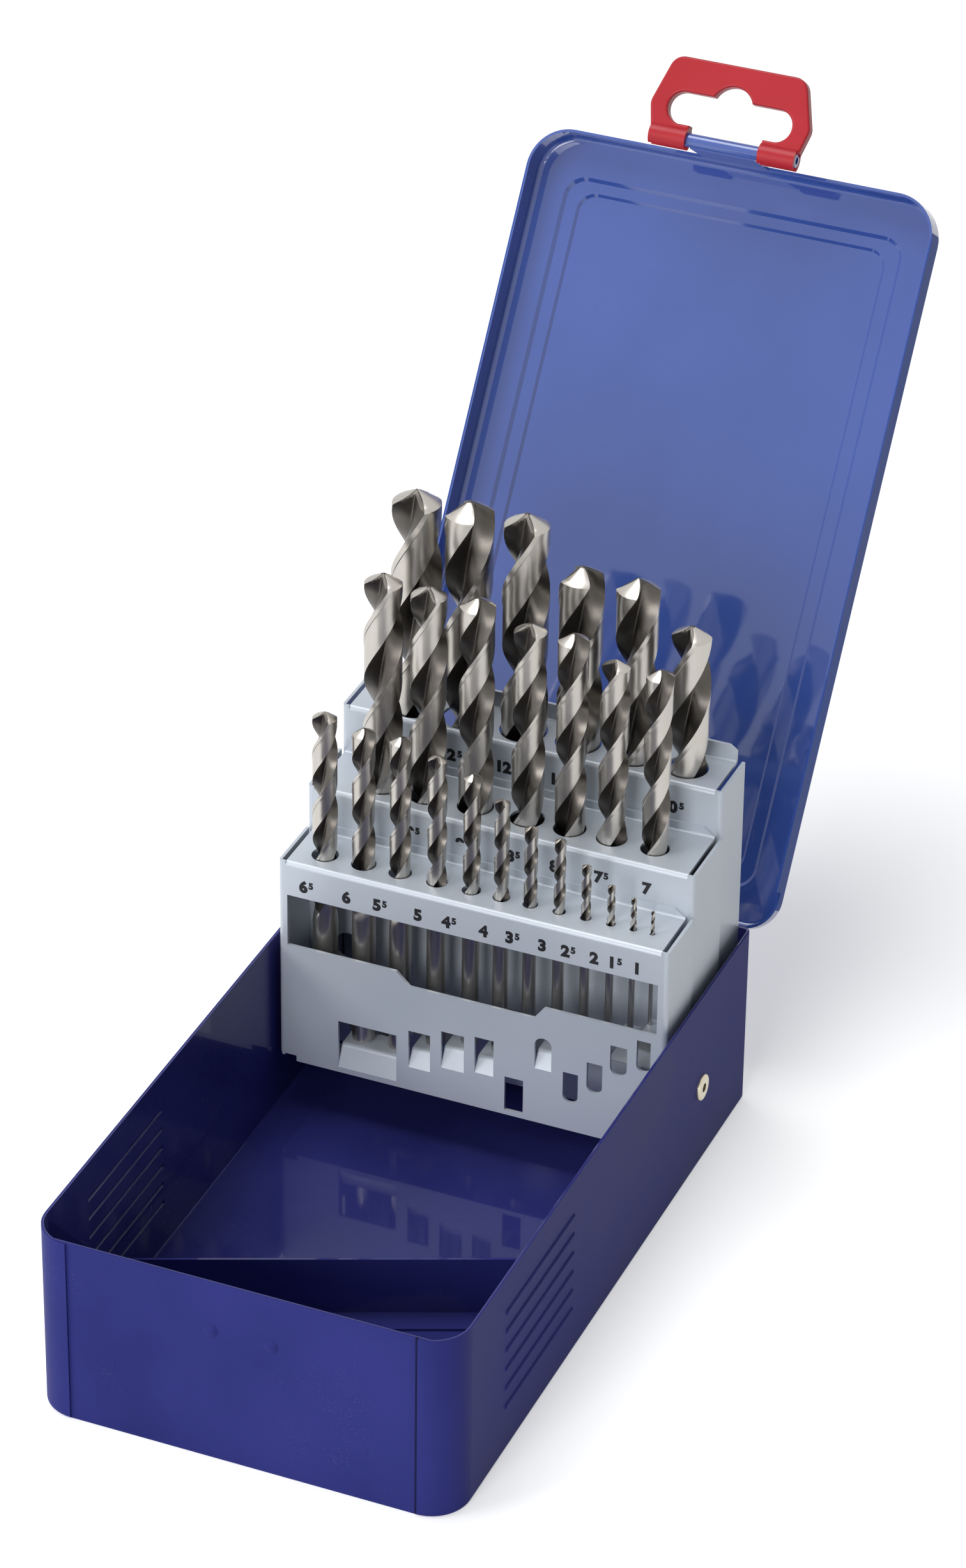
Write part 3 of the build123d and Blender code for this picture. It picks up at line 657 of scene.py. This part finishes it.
@dataclass
class FlutedDrill:
    """A twist drill with two ground flutes, a run-out and a coned point.

    Sizes are millimetres, and the drill stands on its shank end.
    """

    spec: DrillSpec
    lead: float = 5.3
    web: float = 0.20
    land_share: float = 0.48
    run_out: float = 1.5
    point_angle: float = 118.0
    rings_per_turn: int = 30
    least_rings: int = 6
    plain: float = 0.3
    turn_deg: float = 0.0
    chamfer_limit: float = 1.2
    chamfer_share: float = 0.16
    chamfer_least: float = 0.05
    margin_share: float = 0.16
    margin_end: float = 1.12
    relief: float = 0.965
    land_points: int = 5
    groove_points: int = 13
    groove_skew: float = 0.85
    groove_fullness: float = 0.62
    run_out_rings: int = 14
    run_out_curve: float = 1.6
    point_rings: int = 8
    crease_deg: float = 38.0

    def section(self) -> list[tuple[float, float, Flute]]:
        """Lays out the cross-section once round.

        Returns:
            Angle in radians, share of the radius and surface for each point.
        """
        half_turn: list[tuple[float, float, Flute]] = []
        land = math.pi * self.land_share
        margin = land * self.margin_share
        stepped = margin * self.margin_end
        half_turn.append((0.0, 1.0, Flute.LAND))
        half_turn.append((margin, 1.0, Flute.LAND))
        half_turn.append((stepped, self.relief, Flute.LAND))
        for i in range(1, self.land_points + 1):
            angle = stepped + (land - stepped) * i / self.land_points
            half_turn.append((angle, self.relief, Flute.LAND))
        groove = math.pi - land
        for i in range(1, self.groove_points):
            share = i / self.groove_points
            angle = land + groove * share
            depth = math.sin(math.pi * share ** self.groove_skew) ** self.groove_fullness
            rise = (1.0 - self.relief) * share
            radius = self.relief + rise - (self.relief - self.web) * depth
            half_turn.append((angle, radius, Flute.GROOVE))
        other = [(a + math.pi, r, s) for a, r, s in half_turn]
        return half_turn + other

    def rings(self) -> list[tuple[float, float, float]]:
        """Lays out the rings from the shank end to the point.

        Returns:
            Height, share of flute and largest radius for each ring, in millimetres.
        """
        radius = self.spec.diameter / 2
        cone = radius / math.tan(math.radians(self.point_angle / 2))
        chamfer = min(self.chamfer_limit, self.chamfer_share * radius + self.chamfer_least)
        start = self.spec.length - self.spec.flute
        run_out = self.run_out * self.spec.diameter
        shoulder = self.spec.length - cone
        rings = [(0.0, 0.0, radius - chamfer), (chamfer, 0.0, radius),
                 (start - self.plain, 0.0, radius), (start, 0.0, radius)]
        for i in range(1, self.run_out_rings + 1):
            share = i / self.run_out_rings
            rings.append((start + run_out * share, share ** self.run_out_curve, radius))
        turns = (shoulder - start - run_out) / (self.lead * self.spec.diameter)
        count = max(self.least_rings, round(turns * self.rings_per_turn))
        for i in range(1, count + 1):
            height = start + run_out + (shoulder - start - run_out) * i / count
            rings.append((height, 1.0, radius))
        for i in range(1, self.point_rings + 1):
            share = i / self.point_rings
            rings.append((shoulder + cone * share, 1.0, radius * (1.0 - share)))
        return rings

    def build(self, foot: Vector, finishes: FinishBook) -> bpy.types.Object:
        """Builds the drill over its CAD blank.

        Args:
            foot: Middle of the shank end, in metres.
            finishes: The case's finishes.

        Returns:
            The finished piece.
        """
        section = self.section()
        rings = self.rings()
        clear_selection()
        bpy.ops.mesh.primitive_circle_add(vertices=len(section), radius=1.0,
                                          fill_type="NOTHING")
        obj = bpy.context.object
        obj.name = f"{self.spec.node}_fluted"
        bpy.ops.object.modifier_add(type="SCREW")
        sweep = obj.modifiers[-1]
        sweep.angle = 0.0
        sweep.screw_offset = float(len(rings) - 1)
        sweep.steps = len(rings) - 1
        sweep.render_steps = len(rings) - 1
        sweep.axis = "Z"
        bpy.ops.object.modifier_apply(modifier=sweep.name)
        self.shape(obj, section, rings, foot)
        self.close(obj, foot)
        self.finish(obj, section, rings, finishes)
        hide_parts(self.spec.node)
        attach(obj, self.spec.node)
        return obj

    def shape(self, obj: bpy.types.Object, section: Sequence[tuple[float, float, Flute]],
              rings: Sequence[tuple[float, float, float]], foot: Vector) -> None:
        """Moves the swept points to the twisted, fluted and pointed form.

        Args:
            obj: The swept tube, one unit between rings.
            section: Cross-section points.
            rings: Ring heights, flute shares and largest radii.
            foot: Middle of the shank end.
        """
        radius = self.spec.diameter / 2
        start = self.spec.length - self.spec.flute
        count = len(section)
        kinds = obj.data.attributes.new("section_point", "INT", "POINT")
        levels = obj.data.attributes.new("ring", "INT", "POINT")
        for vertex in obj.data.vertices:
            around = math.atan2(vertex.co.y, vertex.co.x)
            index = round((around % math.tau) / math.tau * count) % count
            level = max(0, min(len(rings) - 1, round(vertex.co.z)))
            angle, share, _ = section[index]
            height, fluted, limit = rings[level]
            reach = min(limit, radius * (1.0 - fluted * (1.0 - share)))
            twist = math.tau * max(0.0, height - start) / (self.lead * self.spec.diameter)
            turn = angle + twist + math.radians(self.turn_deg)
            vertex.co = (
                foot.x + reach * math.cos(turn) * MM,
                foot.y + reach * math.sin(turn) * MM,
                foot.z + height * MM,
            )
            kinds.data[vertex.index].value = index
            levels.data[vertex.index].value = level

    def close(self, obj: bpy.types.Object, foot: Vector) -> None:
        """Caps the shank end and draws the point together.

        Args:
            obj: The shaped drill.
            foot: Middle of the shank end.
        """
        take_up(obj)
        bpy.ops.object.mode_set(mode="EDIT")
        bpy.ops.mesh.select_mode(type="VERT")
        bpy.ops.mesh.select_all(action="SELECT")
        bpy.ops.mesh.remove_doubles(threshold=0.000002)
        bpy.ops.mesh.select_all(action="DESELECT")
        bpy.ops.object.mode_set(mode="OBJECT")
        for vertex in obj.data.vertices:
            vertex.select = vertex.co.z < foot.z + 0.000001
        bpy.ops.object.mode_set(mode="EDIT")
        bpy.ops.mesh.edge_face_add()
        bpy.ops.mesh.select_all(action="SELECT")
        bpy.ops.mesh.normals_make_consistent(inside=False)
        bpy.ops.object.mode_set(mode="OBJECT")

    def finish(self, obj: bpy.types.Object, section: Sequence[tuple[float, float, Flute]],
               rings: Sequence[tuple[float, float, float]], finishes: FinishBook) -> None:
        """Gives the lands and the flutes their own steel.

        Args:
            obj: The closed drill.
            section: Cross-section points.
            rings: Ring heights, flute shares and largest radii.
            finishes: The case's finishes.
        """
        dress(obj, finishes.land)
        obj.data.materials.append(finishes.groove)
        kinds = obj.data.attributes["section_point"].data
        levels = obj.data.attributes["ring"].data
        for polygon in obj.data.polygons:
            inside = 0
            fluted = 1.0
            for index in polygon.vertices:
                inside += section[kinds[index].value][2] is Flute.GROOVE
                fluted = min(fluted, rings[levels[index].value][1])
            if inside and fluted > 0.2:
                polygon.material_index = Flute.GROOVE.value
        take_up(obj)
        bpy.ops.object.shade_smooth_by_angle(angle=math.radians(self.crease_deg))


@dataclass
class DrillSet:
    """The 25 drills, each over its own CAD blank."""

    flutes: dict[float, float] = field(default_factory=lambda: {
        1.0: 12.0, 1.5: 18.0, 2.0: 21.0, 2.5: 25.5, 3.0: 31.0, 3.5: 32.5, 4.0: 38.5,
        4.5: 43.0, 5.0: 46.0, 5.5: 56.0, 6.0: 56.0, 6.5: 62.0, 7.0: 69.0, 7.5: 69.0,
        8.0: 75.0, 8.5: 75.0, 9.0: 81.0, 9.5: 81.0, 10.0: 87.0, 10.5: 87.0, 11.0: 94.0,
        11.5: 94.0, 12.0: 101.0, 12.5: 101.0, 13.0: 101.0,
    })
    point_turns: dict[float, float] = field(default_factory=lambda: {
        13.0: 130.0, 12.5: 215.0, 12.0: 130.0, 11.5: 225.0, 11.0: 200.0, 10.5: 110.0,
        10.0: 125.0, 9.5: 135.0, 9.0: 200.0, 8.5: 130.0, 8.0: 195.0, 7.5: 110.0, 7.0: 200.0,
        6.5: 130.0, 6.0: 200.0, 5.5: 200.0, 5.0: 130.0, 4.5: 200.0, 4.0: 130.0,
    })

    def build(self, finishes: FinishBook) -> list[bpy.types.Object]:
        """Builds every drill.

        Args:
            finishes: The case's finishes.

        Returns:
            The drills.
        """
        made = []
        for diameter, flute in self.flutes.items():
            node = f"drill_{diameter:04.1f}".replace(".", "_")
            low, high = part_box(node)
            foot = Vector(((low.x + high.x) / 2, (low.y + high.y) / 2, low.z))
            length = (high.z - low.z) / MM
            spec = DrillSpec(node, diameter, length, flute)
            drill = FlutedDrill(spec)
            cone = diameter / 2 / math.tan(math.radians(drill.point_angle / 2))
            top_twist = 360.0 * (flute - cone) / (drill.lead * diameter)
            drill.turn_deg = self.point_turns.get(diameter, 160.0) - top_twist
            made.append(drill.build(foot, finishes))
        return made


# --------------------------------------------------------------------------- rack


@dataclass(frozen=True)
class SizeLabel:
    """One printed size: whole millimetres, a raised 5 or none, and its place in mm."""

    whole: str
    raised: bool
    across: float


@dataclass
class RackDress:
    """The stepped rack: its paint and the printed sizes under its holes."""

    numeral: float = 4.4
    raised_size: float = 2.5
    boldness: float = 0.26
    stand_off: float = 0.03
    rows: dict[str, tuple[float, tuple[SizeLabel, ...]]] = field(
        default_factory=lambda: {
            "front": (8.8, (
                SizeLabel("6", True, -44.9), SizeLabel("6", False, -34.0),
                SizeLabel("5", True, -24.7), SizeLabel("5", False, -14.4),
                SizeLabel("4", True, -5.8), SizeLabel("4", False, 3.4),
                SizeLabel("3", True, 11.3), SizeLabel("3", False, 19.2),
                SizeLabel("2", True, 26.3), SizeLabel("2", False, 33.1),
                SizeLabel("1", True, 38.7), SizeLabel("1", False, 44.5))),
            "middle": (9.0, (
                SizeLabel("10", False, -36.5), SizeLabel("9", True, -23.3),
                SizeLabel("9", False, -10.5), SizeLabel("8", True, 4.0),
                SizeLabel("8", False, 15.0), SizeLabel("7", True, 27.8),
                SizeLabel("7", False, 39.8))),
            "rear": (12.0, (
                SizeLabel("13", False, -36.0), SizeLabel("12", True, -21.6),
                SizeLabel("12", False, -7.2), SizeLabel("11", True, 8.5),
                SizeLabel("11", False, 24.0), SizeLabel("10", True, 38.6))),
        })

    def word(self, text: str, size: float, place: Vector) -> bpy.types.Object:
        """Prints one word on a plate that faces the front.

        Args:
            text: The characters.
            size: Font size in millimetres.
            place: Middle of the word, in metres.

        Returns:
            The word as a mesh.
        """
        clear_selection()
        bpy.ops.object.text_add(location=place, rotation=(math.pi / 2, 0.0, 0.0))
        obj = bpy.context.object
        obj.data.body = text
        obj.data.size = size * MM
        obj.data.align_x = "CENTER"
        obj.data.align_y = "CENTER"
        obj.data.offset = self.boldness * size / self.numeral * MM
        obj.data.extrude = 0.01 * MM
        obj.data.resolution_u = 4
        bpy.ops.object.convert(target="MESH")
        settle(obj)
        return obj

    def label_row(self, name: str, finishes: FinishBook) -> bpy.types.Object:
        """Prints one tier's sizes.

        Args:
            name: Tier name.
            finishes: The case's finishes.

        Returns:
            One mesh with every size of the tier.
        """
        drop, labels = self.rows[name]
        low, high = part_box(f"{name}_bracket")
        y = low.y - self.stand_off * MM
        z = high.z - drop * MM
        words = []
        for label in labels:
            shift = 0.9 if label.raised else 0.0
            x = (label.across - shift) * MM
            words.append(self.word(label.whole, self.numeral, Vector((x, y, z))))
            if label.raised:
                reach = (2.1 + 1.3 * (len(label.whole) - 1)) * MM
                place = Vector((x + reach, y, z + 0.8 * MM))
                words.append(self.word("5", self.raised_size, place))
        clear_selection()
        for word in words:
            word.select_set(True)
        bpy.context.view_layer.objects.active = words[0]
        bpy.ops.object.join()
        row = bpy.context.object
        row.name = f"sizes_{name}"
        row.data.name = row.name
        dress(row, finishes.ink)
        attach(row, "rack")
        return row

    def build(self, nodes: dict[str, bpy.types.Object],
              finishes: FinishBook) -> list[bpy.types.Object]:
        """Paints the brackets and prints the sizes.

        Args:
            nodes: CAD nodes by name.
            finishes: The case's finishes.

        Returns:
            The brackets and the printed rows.
        """
        brackets = [nodes[f"{tier}_bracket"] for tier in ("front", "middle", "rear")]
        for bracket in brackets:
            dress(bracket, finishes.rack_grey)
        return brackets + [self.label_row(name, finishes) for name in self.rows]


# --------------------------------------------------------------------------- case


@dataclass
class CaseDress:
    """The tray, the lid, the hinge, the pivots and the hanger."""

    finishes_by_node: dict[str, str] = field(default_factory=lambda: {
        "tray_shell": "tray_blue", "bit_stop": "tray_blue", "hinge_leaf": "tray_blue",
        "hinge_pin": "steel", "lid": "lid_blue", "hanger": "red",
        "pivot_rivet_left": "brass", "pivot_rivet_right": "brass",
        "pivot_washer_left": "steel", "pivot_washer_right": "steel",
    })

    def build(self, nodes: dict[str, bpy.types.Object],
              finishes: FinishBook) -> list[bpy.types.Object]:
        """Finishes each carried-over piece.

        Args:
            nodes: CAD nodes by name.
            finishes: The case's finishes.

        Returns:
            The dressed nodes.
        """
        for name, finish in self.finishes_by_node.items():
            dress(nodes[name], getattr(finishes, finish))
        return [nodes[name] for name in self.finishes_by_node]


# --------------------------------------------------------------------------- studio


@dataclass(frozen=True)
class LampSpec:
    """One soft square lamp: its place and side in metres, and its power in watts."""

    name: str
    place: tuple[float, float, float]
    side: float
    power: float


@dataclass
class Studio:
    """White floor, soft lamps, white world and the camera at the photograph's angle."""

    eye: tuple[float, float, float] = (469.27, -1079.47, 877.61)
    right: tuple[float, float, float] = (0.9205, 0.39059, 0.01117)
    up: tuple[float, float, float] = (-0.21682, 0.48679, 0.84618)
    back: tuple[float, float, float] = (0.32507, -0.78133, 0.53278)
    focal_px: float = 9172.86
    frame_long_px: float = 2453.0
    floor_size: float = 12.0
    ambient: float = 0.18
    floor_glow: float = 0.45
    lamp_aim: tuple[float, float, float] = (0.0, 0.02, 0.08)
    lamps: tuple[LampSpec, ...] = (
        LampSpec("top_lamp", (-0.3, 0.1, 1.45), 0.8, 10.5),
        LampSpec("side_lamp", (-1.15, -1.0, 0.95), 0.7, 10.0),
        LampSpec("front_lamp", (0.0, -1.5, 0.60), 0.7, 12.0),
    )

    def camera(self) -> bpy.types.Object:
        """Sets the camera where the photograph was taken.

        Returns:
            The camera.
        """
        data = bpy.data.cameras.new("photo_camera")
        data.sensor_width = 36.0
        data.lens = self.focal_px / self.frame_long_px * data.sensor_width
        data.clip_start = 0.01
        data.clip_end = 50.0
        camera = bpy.data.objects.new("photo_camera", data)
        bpy.context.scene.collection.objects.link(camera)
        turned = Matrix((self.right, self.up, self.back)).transposed().to_4x4()
        camera.matrix_world = Matrix.Translation(Vector(self.eye) * MM) @ turned
        bpy.context.scene.camera = camera
        return camera

    def lamp(self, spec: LampSpec) -> bpy.types.Object:
        """Hangs one soft square lamp that faces the case.

        Args:
            spec: The lamp's name, place, side and power.

        Returns:
            The lamp.
        """
        data = bpy.data.lights.new(spec.name, "AREA")
        data.size = spec.side
        data.energy = spec.power
        lamp = bpy.data.objects.new(spec.name, data)
        bpy.context.scene.collection.objects.link(lamp)
        lamp.location = spec.place
        direction = Vector(self.lamp_aim) - Vector(spec.place)
        lamp.rotation_euler = direction.to_track_quat("-Z", "Y").to_euler()
        return lamp

    def seen_directly(self, bench: NodeBench) -> bpy.types.NodeSocket:
        """Finds the rays that show the background: to the camera or in a reflection.

        Args:
            bench: Bench on the tree that needs them.

        Returns:
            A mask that is 1 for those rays.
        """
        path = bench.add("ShaderNodeLightPath")
        mirrored = bench.math("MAXIMUM", path.outputs["Is Glossy Ray"],
                              path.outputs["Is Transmission Ray"])
        return bench.math("MAXIMUM", path.outputs["Is Camera Ray"], mirrored)

    def world(self) -> None:
        """Makes a soft world that looks white from the camera and in reflections."""
        world = bpy.data.worlds.new("soft_white")
        bpy.context.scene.world = world
        world.use_nodes = True
        bench = NodeBench(world.node_tree)
        light = world.node_tree.nodes["Background"]
        light.inputs["Color"].default_value = (0.94, 0.97, 1.0, 1.0)
        light.inputs["Strength"].default_value = self.ambient
        seen = bench.add("ShaderNodeBackground")
        seen.inputs["Color"].default_value = (1.0, 1.0, 1.0, 1.0)
        seen.inputs["Strength"].default_value = 1.0
        mix = bench.add("ShaderNodeMixShader")
        bench.feed(mix, 0, self.seen_directly(bench))
        bench.feed(mix, 1, light.outputs[0])
        bench.feed(mix, 2, seen.outputs[0])
        bench.feed(world.node_tree.nodes["World Output"], "Surface", mix.outputs[0])

    def floor(self) -> bpy.types.Object:
        """Lays the white floor, which keeps the case's shadow.

        Returns:
            The floor.
        """
        clear_selection()
        bpy.ops.mesh.primitive_plane_add(size=self.floor_size, location=(0.0, 0.0, 0.0))
        floor = bpy.context.object
        floor.name = "studio_floor"
        material, bench, shader = fresh_material("floor_white")
        grain = bench.add("ShaderNodeTexNoise")
        bench.feed(grain, "Scale", 3.0)
        tone = bench.blend(grain.outputs[0], (0.90, 0.90, 0.90, 1.0), (0.93, 0.93, 0.93, 1.0))
        bench.feed(shader, "Base Color", tone)
        shader.inputs["Roughness"].default_value = 0.7
        glow = bench.blend(self.seen_directly(bench), (0.0, 0.0, 0.0, 1.0), (1.0, 1.0, 1.0, 1.0))
        bench.feed(shader, "Emission Color", glow)
        shader.inputs["Emission Strength"].default_value = self.floor_glow
        dress(floor, material)
        return floor

    def build(self) -> None:
        """Sets the whole studio."""
        self.camera()
        self.world()
        self.floor()
        for spec in self.lamps:
            self.lamp(spec)
        bpy.context.scene.view_settings.view_transform = "Standard"


def main() -> None:
    """Builds the case's dress piece by piece, then the studio."""
    logging.basicConfig(level=logging.INFO, format="%(name)s: %(message)s")
    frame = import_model()
    nodes = frame["nodes"]
    finishes = FinishBook(EffectShelf())
    builders: list[tuple[str, Callable[[], list[bpy.types.Object]]]] = [
        ("case", lambda: CaseDress().build(nodes, finishes)),
        ("rack", lambda: RackDress().build(nodes, finishes)),
        ("drills", lambda: DrillSet().build(finishes)),
    ]
    for name, build in builders:
        for piece in build():
            LOG.info("%s: %s, %d faces", name, piece.name, len(piece.data.polygons))
    Studio().build()
    clear_selection()


if __name__ == "__main__":
    main()
